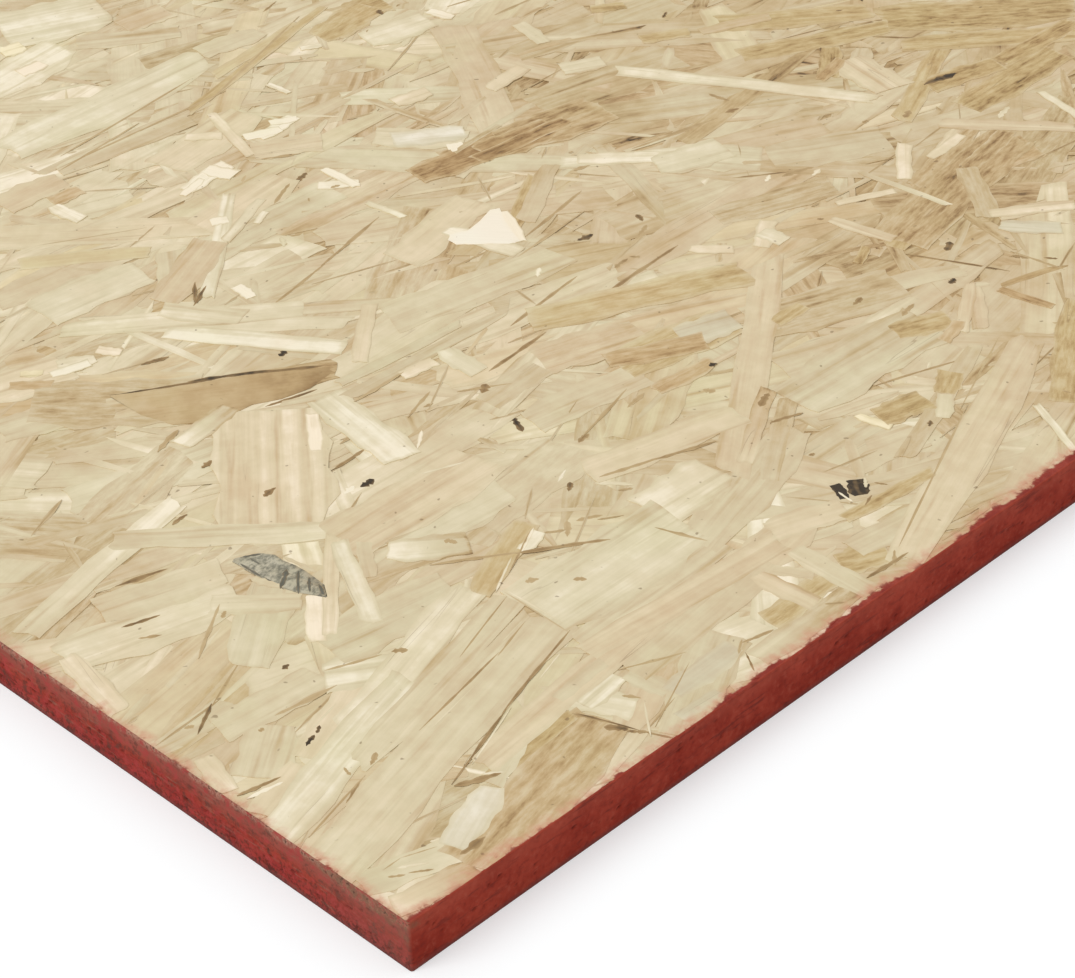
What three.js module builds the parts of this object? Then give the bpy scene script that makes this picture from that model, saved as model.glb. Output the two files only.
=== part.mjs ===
// Oriented strand board panel, one full sheet.
//
// Millimetres, +Z up. The sheet lies flat with the middle of its underside at the
// origin, its long side along X and its short side along Y.
//
// The sheet is pressed and sawn as one piece, so it is one solid: a square-edged slab
// whose sawn arrises are eased all the way round and whose four upright corners are
// knocked off to a slightly larger radius.

import * as THREE from 'three';

// Driving dimensions.
const PANEL_LENGTH = 2440;
const PANEL_WIDTH = 1220;
const PANEL_THICKNESS = 18;
const CORNER_RADIUS = 1.5; // of the four upright corners, seen from above
const ARRIS_RADIUS = 0.5; // of the long edges between a face and a sawn edge

// How finely the curves are cut into facets.
const CORNER_STEPS = 6;
const ARRIS_STEPS = 4;

// The face's pale wood, unpainted.
const STRAND_WOOD = { color: 0xd8c59b, roughness: 0.78, metalness: 0 };

/** The sheet seen from above: a rectangle about the origin with round corners. */
function sheetOutline(length, width, radius) {
  const quarterTurn = Math.PI / 2;
  const centreX = length / 2 - radius;
  const centreY = width / 2 - radius;
  const outline = new THREE.Shape();
  outline.absarc(centreX, centreY, radius, 0, quarterTurn);
  outline.absarc(-centreX, centreY, radius, quarterTurn, 2 * quarterTurn);
  outline.absarc(-centreX, -centreY, radius, 2 * quarterTurn, 3 * quarterTurn);
  outline.absarc(centreX, -centreY, radius, 3 * quarterTurn, 4 * quarterTurn);
  return outline;
}

/** One full sheet, resting on z = 0. */
function osbPanel() {
  const slab = new THREE.ExtrudeGeometry(
    sheetOutline(PANEL_LENGTH, PANEL_WIDTH, CORNER_RADIUS),
    {
      depth: PANEL_THICKNESS - 2 * ARRIS_RADIUS,
      curveSegments: CORNER_STEPS,
      bevelEnabled: true,
      bevelThickness: ARRIS_RADIUS,
      bevelSize: ARRIS_RADIUS,
      bevelOffset: -ARRIS_RADIUS,
      bevelSegments: ARRIS_STEPS,
    },
  );
  const panel = new THREE.Mesh(slab, new THREE.MeshStandardMaterial(STRAND_WOOD));
  panel.name = 'osb_panel';
  panel.position.z = ARRIS_RADIUS; // the underside's arris reaches down to z = 0
  return panel;
}

const part = new THREE.Group();
part.add(osbPanel());

export default part;
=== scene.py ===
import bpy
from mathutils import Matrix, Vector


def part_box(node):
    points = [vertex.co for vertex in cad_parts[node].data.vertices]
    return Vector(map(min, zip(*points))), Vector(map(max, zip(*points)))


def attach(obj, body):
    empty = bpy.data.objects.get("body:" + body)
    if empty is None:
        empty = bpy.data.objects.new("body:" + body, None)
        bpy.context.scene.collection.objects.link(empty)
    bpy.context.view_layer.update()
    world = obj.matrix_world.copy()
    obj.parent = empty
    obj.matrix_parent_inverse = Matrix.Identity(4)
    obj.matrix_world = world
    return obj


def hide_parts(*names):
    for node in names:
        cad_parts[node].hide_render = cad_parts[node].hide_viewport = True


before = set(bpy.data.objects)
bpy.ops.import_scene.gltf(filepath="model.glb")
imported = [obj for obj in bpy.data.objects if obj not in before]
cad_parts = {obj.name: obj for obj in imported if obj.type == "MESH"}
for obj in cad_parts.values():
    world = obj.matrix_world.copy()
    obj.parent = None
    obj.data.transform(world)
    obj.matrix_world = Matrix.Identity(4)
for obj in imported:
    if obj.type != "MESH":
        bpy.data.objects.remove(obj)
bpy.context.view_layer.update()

# One full sheet of oriented strand board: two faces of pressed wood strands and a band of
# red sealer round its four sawn edges. Metres, +Z up, strands mostly along X.

import math
import random

import bmesh
import bpy
import numpy as np
from mathutils import Matrix, Vector, noise
from mathutils.bvhtree import BVHTree

MM = 0.001
PANEL = "osb_panel"

# ---------------------------------------------------------------- sizes, from the frame

LOW, HIGH = [Vector(corner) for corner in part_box(PANEL)]
HALF_LENGTH = (HIGH.x - LOW.x) / 2
HALF_WIDTH = (HIGH.y - LOW.y) / 2
THICKNESS = HIGH.z - LOW.z
NEAR_CORNER = Vector((LOW.x, LOW.y, LOW.z))
FINE_X, FINE_Y = LOW.x + 0.62, LOW.y + 0.58  # up to where the strands round it are finer
FINE_EDGE = 0.42  # how far from it the columns of the sawn band are fine

CORNER_RADIUS = 1.0 * MM  # of the sawn band's upright corners
ARRIS_RADIUS = 0.3 * MM  # of its long edges
FINE_COLUMN, WIDE_COLUMN = 0.75 * MM, 4 * MM
FINE_ROWS, WIDE_ROWS = 28, 14  # between its arrises
BAND_FIELDS = ("pit", "end_grain", "worn")  # what its material reads at each point
SCUFF_REACH = 28 * MM  # how far the scuff by the near corner reaches to either side

BLANKS = 16  # differently torn strands that each kind of strand is picked from
FACE_RELIEF = 0.30 * MM  # from the lowest to the highest strand of a face
TOP_LAYER = 0.18 * MM  # of the face's height that is left for the strands laid one by one
SIDE_SHADE = 0.18  # painted shade: how much darker a strand's side is at its foot
SAWN_OFF = 0.2 * MM  # how far inside the sheet's outline the strands end
ON_RIM = 0.49  # a point of a blank that lies farther out than this is on its rim
MARK_STANDS = 0.025 * MM  # how far a crack or chip stands out of the strand under it
MARK_STEP = 0.001 * MM  # how much lower each next shape of mark lies
FULL_RINGS = 35  # the width in millimetres past which a strand of CORNER_STRANDS has strong rings

# How thick each kind of strand is.
BOARD_STRAND = 0.3 * MM
CORNER_STRAND = 0.35 * MM
HIDDEN_STRAND = 0.25 * MM
SLIVER = 0.15 * MM
MARK = 0.12 * MM
BACKING = 0.05 * MM

# How each kind is scattered: the spacing of its lattice along X and Y, its shortest and longest,
# its narrowest and widest, and the mean and the spread of its turn from +X.
LEAN = math.radians(-6)
BOARD_LAY = ((42 * MM, 11.2 * MM), (60 * MM, 130 * MM), (7 * MM, 32 * MM), (LEAN, math.radians(27)))
SLIVER_LAY = ((40 * MM, 14 * MM), (10 * MM, 60 * MM), (1.2 * MM, 6 * MM), (LEAN, math.radians(36)))
CRACK_LAY = ((80 * MM, 26 * MM), (8 * MM, 42 * MM), (0.8 * MM, 2.2 * MM), (LEAN, math.radians(30)))
KNOT_LAY = ((90 * MM, 44 * MM), (2 * MM, 6 * MM), (1.0 * MM, 2.6 * MM), (LEAN, math.radians(40)))
BACKING_LAY = ((100 * MM, 34 * MM), (230 * MM, 250 * MM), (84 * MM, 92 * MM), (0, 0.03))
UNDER_LAY = ((46 * MM, 12 * MM), (70 * MM, 140 * MM), (8 * MM, 36 * MM), (0, math.radians(24)))
LEANING = 0.88  # share of the scattered strands that lie like that; the others lie any way
SLIM_BROWN, SLIM_PALE = 13 * MM, 9 * MM  # the width that brown and bleached ones stay under

TOP_SEED, UNDER_SEED, BOLD_SEED = 11, 23, 31
CORNER_SEED, SHARD_SEED, BLADE_SEED = 5, 8, 9

# ---------------------------------------------------------------- camera, light and floor

SENSOR_WIDTH_MM = 36.0
LENS_MM = 103.85
CAMERA_FROM_CORNER = Vector((-0.4023, -0.4654, 0.5950))
CAMERA_HEADING = math.radians(45.61)  # from +X towards +Y
CAMERA_PITCH = math.radians(35.30)  # below the horizon
CAMERA_ROLL = math.radians(-1.70)

SKY_LEVEL = 0.78  # share of the light that comes evenly from all round
LAMP_ELEVATION = math.radians(40)
LAMP_HEADING = math.radians(160)  # where the lamp stands, from +X towards +Y
LAMP_WIDTH = math.radians(30)
FLOOR_SIZE = 60.0
FLOOR_GLOW = 0.40  # how much of the floor's white doesn't depend on the light on it
FLOOR_LIT = (0.86, 0.86, 0.86, 1)  # the floor's colour for the light that it throws back
FLOOR_SEEN = (0.645, 0.665, 0.67, 1)  # and its colour for the camera, under that glow

# ---------------------------------------------------------------- colours


def srgb(red, green, blue):
    """A colour in 0 to 255 steps, as the linear red, green, blue and alpha of a socket."""
    steps = (red, green, blue)
    linear = [s / 3294.6 if s <= 10.31 else ((s / 255 + 0.055) / 1.055) ** 2.4 for s in steps]
    return (*linear, 1.0)


# How pale a strand is, from bark at 0 to bleached sapwood at 1.
BARK, BROWN, HONEY, TAN, STRAW, CREAM, PALE, WHITE = 0.0, 0.14, 0.28, 0.42, 0.56, 0.70, 0.85, 1.0
MEAN_TONE = STRAW + 0.04
WOOD_COLOURS = (
    (BARK, srgb(62, 51, 37)),
    (BROWN, srgb(157, 127, 85)),
    (HONEY, srgb(188, 161, 117)),
    (TAN, srgb(202, 179, 137)),
    (STRAW, srgb(211, 192, 156)),
    (CREAM, srgb(219, 205, 169)),
    (PALE, srgb(230, 216, 183)),
    (WHITE, srgb(248, 236, 210)),
)

# Casts a strand can have over its tone, as shares of red, green and blue light.
CASTS = {
    "plain": (1.0, 1.0, 1.0),
    "pink": (1.02, 0.98, 0.97),
    "mossy": (0.985, 0.998, 1.0),
    "gold": (1.0, 0.98, 0.87),
    "tawny": (1.0, 0.965, 0.93),
    "rust": (0.99, 0.92, 0.85),
    "cold": (0.95, 0.98, 1.04),
    "grey": (0.71, 0.75, 0.82),
    "bleached": (1.0, 1.03, 1.10),
    "slate": (0.33, 0.54, 1.0),
    "crack": (0.92, 0.90, 0.88),
}
PINKER = (1.0, 0.975, 0.965, 1)  # casts of broad patches that cross the strands
GREENER = (0.985, 1.0, 0.97, 1)
SPLIT_WOOD = srgb(140, 108, 72)
SPECK = srgb(120, 92, 60)
MOULD = srgb(98, 97, 84)

# The sealer where it is whole, from its pits to its thin places.
COAT_PIT = srgb(78, 30, 26)
COAT_THICK = srgb(104, 30, 22)
COAT = srgb(133, 38, 23)
COAT_EVEN = srgb(156, 58, 41)
COAT_THIN = srgb(170, 84, 66)
# The sealer on the faces, beyond its lap.
COAT_CRUMB = srgb(150, 96, 74)
COAT_MIST = srgb(206, 144, 116)
# The sealer on the sawn edges, where it differs from that.
COAT_LAYER = srgb(92, 34, 28)
COAT_TOP = srgb(164, 78, 60)
# Painted shadow along the foot of the sawn edges, where they meet the floor.
FOOT_SHADOW = srgb(104, 62, 58)
END_DULL = srgb(142, 84, 72)
END_BRIGHT = srgb(160, 54, 57)
END_RED = srgb(162, 58, 56)
END_BROWN = srgb(98, 56, 46)
END_CORNER = srgb(136, 84, 72)
END_SPECK = srgb(66, 36, 30)
# Wood that shows where the sealer is thin, worn off or stops short.
LAYER_WOOD = srgb(138, 96, 80)
WORN_WOOD = srgb(116, 84, 62)
BARED_DARK, BARED_PALE = srgb(128, 95, 74), srgb(186, 150, 122)
BARED_PINK, BARED_GRIT = srgb(174, 130, 110), srgb(74, 52, 42)

# ---------------------------------------------------------------- nodes


def set_inputs(tree, node, inputs):
    """Fill a node's inputs, by name or number, with values or by joining sockets to them."""
    for key, value in inputs.items():
        if isinstance(value, bpy.types.NodeSocket):
            tree.links.new(value, node.inputs[key])
        else:
            node.inputs[key].default_value = value


def add(tree, kind, inputs=None, **settings):
    """Add a node with its settings and its inputs."""
    made = tree.nodes.new(kind)
    for setting, value in settings.items():
        setattr(made, setting, value)
    set_inputs(tree, made, inputs or {})
    return made


def math_node(tree, operation, first, second=0.0, third=0.0, clamp=False):
    """The result socket of one sum."""
    made = add(tree, "ShaderNodeMath", {0: first, 1: second, 2: third}, operation=operation,
               use_clamp=clamp)
    return made.outputs[0]


def times(tree, first, *others):
    """The product of two values or more."""
    for other in others:
        first = math_node(tree, "MULTIPLY", first, other)
    return first


def plus(tree, first, *others):
    """The sum of two values or more."""
    for other in others:
        first = math_node(tree, "ADD", first, other)
    return first


def times_plus(tree, first, factor, added):
    """A value times a factor, and another value added to that."""
    return math_node(tree, "MULTIPLY_ADD", first, factor, added)


def size_of(tree, value):
    """A value without its sign."""
    return math_node(tree, "ABSOLUTE", value)


def fade(tree, value, start, end, low=0.0, high=1.0):
    """Low where the value is at start, high where it is at end, with a smooth turn between."""
    made = add(tree, "ShaderNodeMapRange", {"Value": value, "From Min": start, "From Max": end,
                                            "To Min": low, "To Max": high},
               interpolation_type="SMOOTHSTEP")
    return made.outputs["Result"]


def painted(tree, colour, *coats, blend="MIX"):
    """A colour under coats that are laid on in turn, each with its share from 0 to 1."""
    for share, coat in coats:
        made = add(tree, "ShaderNodeMix", {"Factor": share, "A": colour, "B": coat},
                   data_type="RGBA", blend_type=blend)
        colour = made.outputs["Result"]
    return colour


def stretched(tree, vector, along, across, shift=0.0):
    """Coordinates scaled by one amount along the grain and by another across it."""
    made = add(tree, "ShaderNodeMapping", {"Vector": vector, "Location": (shift, shift, shift),
                                           "Scale": (along, across, across)})
    return made.outputs["Vector"]


def cloud(tree, vector, scale=1.0, detail=2.0, rough=0.5, twist=0.0):
    """A soft random value from 0 to 1."""
    made = add(tree, "ShaderNodeTexNoise", {"Vector": vector, "Scale": scale, "Detail": detail,
                                            "Roughness": rough, "Distortion": twist})
    return made.outputs["Fac"]


def attribute(tree, name, output="Fac"):
    """What a piece's mesh says at each point under a name."""
    return add(tree, "ShaderNodeAttribute", attribute_name=name).outputs[output]


def object_spot(tree):
    """The place on the sheet, and its three coordinates."""
    spot = add(tree, "ShaderNodeTexCoord").outputs["Object"]
    return spot, add(tree, "ShaderNodeSeparateXYZ", {0: spot}).outputs


def bump(tree, height, distance):
    """The normal of a surface that rises and sinks with a height."""
    made = add(tree, "ShaderNodeBump", {"Height": height, "Strength": 0.5, "Distance": distance})
    return made.outputs["Normal"]


def new_group(name, inputs, outputs):
    """An empty node group; each input is a name, kind and value, each output a name and kind."""
    group = bpy.data.node_groups.new(name, "ShaderNodeTree")
    for label, kind, value in inputs:
        socket = group.interface.new_socket(label, in_out="INPUT", socket_type=kind)
        if value is not None:
            socket.default_value = value
    for label, kind in outputs:
        group.interface.new_socket(label, in_out="OUTPUT", socket_type=kind)
    return group, group.nodes.new("NodeGroupInput"), group.nodes.new("NodeGroupOutput")


def use_group(tree, group, inputs):
    """Place a node group in a material with its own values; its output sockets by name."""
    return add(tree, "ShaderNodeGroup", inputs, node_tree=group).outputs


def new_material(name):
    """A material with an empty tree but for its Principled shader and its output."""
    material = bpy.data.materials.new(name)
    material.use_nodes = True
    tree = material.node_tree
    tree.nodes.clear()
    shader = tree.nodes.new("ShaderNodeBsdfPrincipled")
    add(tree, "ShaderNodeOutputMaterial", {"Surface": shader.outputs["BSDF"]})
    return material, tree, shader


# ---------------------------------------------------------------- shared effects

FLOAT = "NodeSocketFloat"
COLOUR = "NodeSocketColor"
VECTOR = "NodeSocketVector"


def past_lap(group, from_end, from_side, reach):
    """How far past the ragged line of the sealer a place on a face lies, in millimetres.

    The coat laps over the faces along the sides, and hardly or not at all at the ends. At an
    end it comes in a little farther near a corner, but not within a centimetre of it. Along a
    side it is widest from 0.1 to 0.35 m off the corner, and narrowest beyond that.
    """
    past_end = plus(group, times_plus(group, reach, -1.0, from_end),
                    fade(group, from_side, 20, 36, -1.3, 0.0),
                    fade(group, from_side, 8, 15, 2.5, 0.0))
    more = plus(group, fade(group, from_end, 95, 125, 1.4, 2.3),
                fade(group, from_end, 230, 270, 0.0, 0.6),
                fade(group, from_end, 320, 370, 0.0, -1.8))
    past_side = math_node(group, "SUBTRACT", from_side, plus(group, reach, more))
    return math_node(group, "MINIMUM", past_end, past_side)


def edge_sealer_group():
    """The red sealer: where it lies on a face near the sheet's edge, and its colour there."""
    group, given, result = new_group(
        "edge_sealer",
        [("Object Position", VECTOR, None), ("Depth", FLOAT, 0.0)],
        [("Lap", FLOAT), ("Mist", FLOAT), ("Crumb", FLOAT), ("Reach", FLOAT),
         ("Colour", COLOUR), ("Mottle", FLOAT)])
    spot = given.outputs["Object Position"]
    place = add(group, "ShaderNodeSeparateXYZ", {0: spot}).outputs
    from_end = times_plus(group, size_of(group, place["X"]), -1 / MM, HALF_LENGTH / MM)
    from_side = times_plus(group, size_of(group, place["Y"]), -1 / MM, HALF_WIDTH / MM)

    slow = fade(group, cloud(group, spot, scale=60, detail=2), 0.35, 0.65)
    quick = cloud(group, spot, scale=270, detail=4, rough=0.62)
    ragged = times_plus(group, slow, 2.0, times(group, fade(group, quick, 0.3, 0.7), 1.4))
    reach = math_node(group, "SUBTRACT", ragged, 2.2)
    beyond = past_lap(group, from_end, from_side, reach)
    mist = times(group, fade(group, beyond, -0.4, 5.5, 1.0, 0.0),
                 fade(group, quick, 0.3, 0.65, 0.35, 1.0))
    rim = fade(group, size_of(group, beyond), 0.2, 1.2, 1.0, 0.0)

    broad = fade(group, cloud(group, spot, scale=75, detail=4, rough=0.62), 0.32, 0.68)
    fine = cloud(group, spot, scale=480, detail=3, rough=0.6)
    coat = painted(group, COAT,
                   (broad, COAT_EVEN),
                   (fade(group, fine, 0.50, 0.75, 0.0, 0.35), COAT_THIN),
                   (fade(group, fine, 0.50, 0.25, 0.0, 0.5), COAT_THICK),
                   (given.outputs["Depth"], COAT_PIT))
    set_inputs(group, result, {
        "Lap": fade(group, beyond, -0.5, 0.5, 1.0, 0.0), "Mist": mist,
        "Crumb": times(group, rim, fade(group, quick, 0.50, 0.62)), "Reach": reach,
        "Colour": coat, "Mottle": fine})
    return group


def wood_grain_group():
    """Grain that follows a strand: rings from -0.5 to 0.5, and fibres and splits from 0 to 1."""
    group, given, result = new_group(
        "wood_grain",
        [("Grain", VECTOR, None)],
        [("Rings", FLOAT), ("Fibre", FLOAT), ("Split", FLOAT)])
    grain = given.outputs["Grain"]
    rings = cloud(group, stretched(group, grain, 5, 210), detail=2, rough=0.5, twist=0.3)
    fibre = cloud(group, stretched(group, grain, 42, 1100), detail=3, rough=0.6)
    line = cloud(group, stretched(group, grain, 14, 260, 3.7), detail=1)
    off_line = size_of(group, math_node(group, "SUBTRACT", line, 0.5))
    patch = cloud(group, stretched(group, grain, 16, 70, 9.1), detail=1)
    split = times(group, fade(group, off_line, 0.0, 0.012, 1.0, 0.0),
                  fade(group, patch, 0.62, 0.72))
    set_inputs(group, result, {"Rings": fade(group, rings, 0.28, 0.72, -0.5, 0.5),
                               "Fibre": fade(group, fibre, 0.25, 0.75), "Split": split})
    return group


# ---------------------------------------------------------------- materials

SWELL_ALONG, SWELL_ACROSS = 7.0, -2.5  # radians a metre of the slow swell in the wood's tone, partly painted light


def wood_paleness(tree, spot, place, grain, rings, blotch):
    """How pale the wood is: its strand's own tone, then what varies over it."""
    tone = attribute(tree, "tone")
    phase = times_plus(tree, cloud(tree, spot, scale=2.5, detail=1), 2.4,
                       SWELL_ALONG * HALF_LENGTH + SWELL_ACROSS * HALF_WIDTH - 1.2)
    phase = times_plus(tree, place["X"], SWELL_ALONG, phase)
    phase = times_plus(tree, place["Y"], SWELL_ACROSS, phase)
    # the swell is partly the wood's own slow change of tone and partly painted light, palest round
    # the near corner
    swell = times(tree, math_node(tree, "COSINE", phase), 0.09)
    broad = fade(tree, cloud(tree, spot, scale=22, detail=3, rough=0.55), 0.3, 0.7, -0.5, 0.5)
    broad = times_plus(tree, broad, 0.22, swell)
    paleness = times_plus(tree, broad, attribute(tree, "drift"), tone)
    paleness = times_plus(tree, blotch, 0.12, paleness)

    streak = cloud(tree, stretched(tree, grain, 20, 300, 5.3), detail=3)
    streak = times(tree, fade(tree, streak, 0.48, 0.25, 0.0, -0.22), fade(tree, tone, 0.25, 0.5))
    coarse = cloud(tree, stretched(tree, grain, 110, 460, 2.9), detail=4, rough=0.7)
    coarse = times(tree, fade(tree, coarse, 0.3, 0.7, -0.14, 0.14), fade(tree, tone, 0.10, 0.25),
                   fade(tree, attribute(tree, "stripe"), 0.0, 0.2), fade(tree, tone, 0.62, 0.40))
    return plus(tree, paleness, streak, coarse, times(tree, rings, 0.3))


def grey_mould(tree, grain, tint):
    """Where a strand with little red in its cast is mouldy."""
    redness = add(tree, "ShaderNodeSeparateColor", {0: tint}).outputs[0]
    mould = cloud(tree, stretched(tree, grain, 500, 300, 6.4), detail=4, rough=0.7)
    return times(tree, fade(tree, mould, 0.40, 0.66, 0.0, 0.8), fade(tree, redness, 0.85, 0.70))


def wood_ramp(tree, paleness):
    """The colour of plain wood of a paleness."""
    wood = add(tree, "ShaderNodeValToRGB", {"Fac": paleness})
    ramp = wood.color_ramp.elements
    for step, colour in WOOD_COLOURS[1:-1]:
        ramp.new(step).color = colour
    ramp[0].color = WOOD_COLOURS[0][1]
    ramp[len(ramp) - 1].color = WOOD_COLOURS[-1][1]
    return wood.outputs["Color"]


def strand_wood_material(grain_group, sealer_group):
    """Pressed wood strands with satin resin, and the sealer lapping on at the sheet's rim."""
    material, tree, shader = new_material("strand_wood")
    spot, place = object_spot(tree)
    grain = add(tree, "ShaderNodeUVMap", uv_map="Grain").outputs["UV"]
    tint = attribute(tree, "tint", "Color")
    pattern = use_group(tree, grain_group, {"Grain": grain})
    sealer = use_group(tree, sealer_group, {"Object Position": spot})
    rings = times(tree, pattern["Rings"], attribute(tree, "stripe"))
    blotch = fade(tree, cloud(tree, spot, scale=110, detail=3, rough=0.6), 0.3, 0.7, -0.5, 0.5)

    hue = cloud(tree, spot, scale=34, detail=2)
    wood = painted(tree, wood_ramp(tree, wood_paleness(tree, spot, place, grain, rings, blotch)),
                   (1.0, tint),
                   (fade(tree, hue, 0.52, 0.75), PINKER),
                   (fade(tree, hue, 0.48, 0.25), GREENER),
                   (1.0, fade(tree, pattern["Fibre"], 0.0, 1.0, 0.98, 1.015)),
                   blend="MULTIPLY")
    speck = fade(tree, cloud(tree, spot, scale=330, detail=1), 0.74, 0.80, 0.0, 0.55)
    colour = painted(tree, wood,
                     (times(tree, pattern["Split"], 0.4), SPLIT_WOOD),
                     (speck, SPECK),
                     (grey_mould(tree, grain, tint), MOULD),
                     (times(tree, sealer["Mist"], 0.85), COAT_MIST),
                     (sealer["Lap"], sealer["Colour"]),
                     (times(tree, sealer["Crumb"], 0.5), COAT_CRUMB))
    height = times_plus(tree, pattern["Split"], -2.5, plus(tree, rings, pattern["Fibre"]))
    height = times_plus(tree, blotch, 0.8, height)
    set_inputs(tree, shader, {
        "Base Color": colour, "Roughness": fade(tree, pattern["Fibre"], 0.0, 1.0, 0.70, 0.58),
        "Specular IOR Level": 0.3, "Normal": bump(tree, height, 0.06 * MM)})
    return material


def sawn_coat(tree, coat, spot, rise, end, depth, mottle):
    """The sealer on the sawn edges: dull above and bright below at the ends, in thin layers.

    The rise is a share of the thickness, and the end is 1 at the ends and 0 along the sides.
    """
    layers = add(tree, "ShaderNodeMapping", {"Vector": spot, "Scale": (70, 70, 620)})
    layer = cloud(tree, layers.outputs["Vector"], detail=4, rough=0.65)
    worn = fade(tree, cloud(tree, spot, scale=300, detail=4, rough=0.65), 0.36, 0.62)
    bright = math_node(tree, "MULTIPLY", times(tree, fade(tree, rise, 0.6, 0.3), end),
                       math_node(tree, "SUBTRACT", 0.4, depth), clamp=True)
    side = math_node(tree, "SUBTRACT", 1.0, end)
    return painted(tree, coat,
                   (times(tree, fade(tree, rise, 0.45, 0.80), end, 0.6), END_DULL),
                   (bright, END_BRIGHT),
                   (times(tree, fade(tree, rise, 0.62, 0.95, 0.0, 0.35), side), COAT_TOP),
                   (fade(tree, layer, 0.46, 0.30, 0.0, 0.65), COAT_LAYER),
                   (times(tree, fade(tree, layer, 0.55, 0.72, 0.0, 0.6), end), LAYER_WOOD),
                   (times(tree, fade(tree, mottle, 0.50, 0.62, 0.0, 0.7), end), END_RED),
                   (times(tree, fade(tree, mottle, 0.48, 0.34, 0.0, 0.8), end), END_BROWN),
                   (times(tree, attribute(tree, "worn"), worn, 0.9), WORN_WOOD))


def scuffed_coat(tree, coat, spot, place, end, reach, mottle):
    """That coat with a painted shadow at its foot, and at the ends with dull corners and a bare top
    in places.
    """
    along = size_of(tree, place["Y"])
    by_corner = fade(tree, along, HALF_WIDTH - 50 * MM, HALF_WIDTH - 10 * MM, 0.0, 0.35)
    browner = fade(tree, along, HALF_WIDTH - 45 * MM, HALF_WIDTH - 25 * MM)
    grit = cloud(tree, spot, scale=620, detail=3, rough=0.7)
    short = times_plus(tree, place["Z"], -1 / MM, THICKNESS / MM)
    short = times_plus(tree, browner, -2.4, times_plus(tree, reach, 0.6, short))
    short = times(tree, fade(tree, short, 0.0, 2.4, 0.85, 0.0), end,
                  fade(tree, mottle, 0.60, 0.50, 0.15, 1.0), fade(tree, grit, 0.60, 0.44, 0.2, 1.0))
    bared = painted(tree, BARED_DARK, (fade(tree, mottle, 0.50, 0.60), BARED_PALE))
    bared = painted(tree, BARED_PINK, (browner, bared), (fade(tree, grit, 0.46, 0.34), BARED_GRIT))
    specks = times(tree, fade(tree, grit, 0.50, 0.40), end,
                   fade(tree, place["Z"], 7 * MM, 1.5 * MM, 0.0, 0.7))
    return painted(tree, coat,
                   (times(tree, by_corner, end), END_CORNER),
                   (short, bared),
                   (specks, END_SPECK),
                   # painted shadow darkening the lowest few millimetres of the sawn edge
                   (fade(tree, place["Z"], 2.6 * MM, 0.4 * MM, 0.0, 0.7), FOOT_SHADOW))


def edge_sealer_material(sealer_group):
    """Red sealer soaked into the sawn edge: smooth on the sides, pitted and duller at the ends."""
    material, tree, shader = new_material("edge_sealer")
    spot, place = object_spot(tree)
    end = attribute(tree, "end_grain")
    rise = times(tree, place["Z"], 1 / THICKNESS)
    crumbs = fade(tree, cloud(tree, spot, scale=430, detail=4, rough=0.7), 0.50, 0.68)
    crumbs = times(tree, crumbs, fade(tree, rise, 0.80, 0.50, 0.15, 1.0), end, 0.65)
    depth = math_node(tree, "MAXIMUM", attribute(tree, "pit"), crumbs)
    sealer = use_group(tree, sealer_group, {"Object Position": spot, "Depth": depth})
    mottle = cloud(tree, spot, scale=240, detail=5, rough=0.72)
    coat = sawn_coat(tree, sealer["Colour"], spot, rise, end, depth, mottle)
    coat = scuffed_coat(tree, coat, spot, place, end, sealer["Reach"], mottle)
    relief = times_plus(tree, depth, -2.0, sealer["Mottle"])
    set_inputs(tree, shader, {"Base Color": coat, "Roughness": 0.75, "Specular IOR Level": 0.12,
                              "Normal": bump(tree, relief, 0.12 * MM)})
    return material


def floor_material():
    """Plain floor that shows white to the camera away from the sheet and keeps its shadow."""
    material, tree, shader = new_material("studio_floor")
    ray = add(tree, "ShaderNodeLightPath").outputs["Is Camera Ray"]
    set_inputs(tree, shader, {
        "Base Color": painted(tree, FLOOR_LIT, (ray, FLOOR_SEEN)),
        "Emission Strength": times(tree, ray, FLOOR_GLOW), "Emission Color": (1, 1, 1, 1),
        "Roughness": 1.0, "Specular IOR Level": 0.0})
    return material


# ---------------------------------------------------------------- strands


def shape_blank(blank, rng, steps, lanes, ragged, taper, margin, lens):
    """Tear the ends of a unit grid, waver its sides and taper it; see strand_blank."""
    slants = {-1: rng.uniform(-ragged, ragged), 1: rng.uniform(-ragged, ragged)}
    pinch = {-1: rng.uniform(0, taper), 1: rng.uniform(0, taper)}
    phases = [rng.uniform(0, 2 * math.pi) for _ in range(3)]
    swells = [rng.uniform(lens or 0.35, 1.0) for _ in range(steps + 1)]
    for vertex in blank.verts:
        x, y = vertex.co.x, vertex.co.y
        if margin and abs(abs(x) - 0.5 + 1 / steps) < 0.01:
            x = math.copysign(0.5 - margin / 5, x)
        if margin and abs(abs(y) - 0.5 + 1 / lanes) < 0.01:
            y = math.copysign(0.5 - margin, y)
        end = -1 if x < 0 else 1
        if lens:
            y *= (1 - (2 * abs(x)) ** 2) ** 0.6 * swells[round((x + 0.5) * steps)] + 0.08
        else:
            y *= 1 - pinch[end] * (2 * abs(x)) ** 3
        side = phases[1] if y > 0 else phases[2]
        y += 0.05 * math.sin(5.5 * x + phases[0]) + 0.045 * math.sin(17 * x + side) * abs(2 * y)
        y += rng.uniform(-0.02, 0.02)
        if abs(x) > 0.4:
            tear = rng.uniform(-ragged, ragged) / 2 if abs(x) > ON_RIM else 0.0
            x += end * (slants[end] * y * 2 + tear)
        vertex.co = (x, y, 0)


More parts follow.
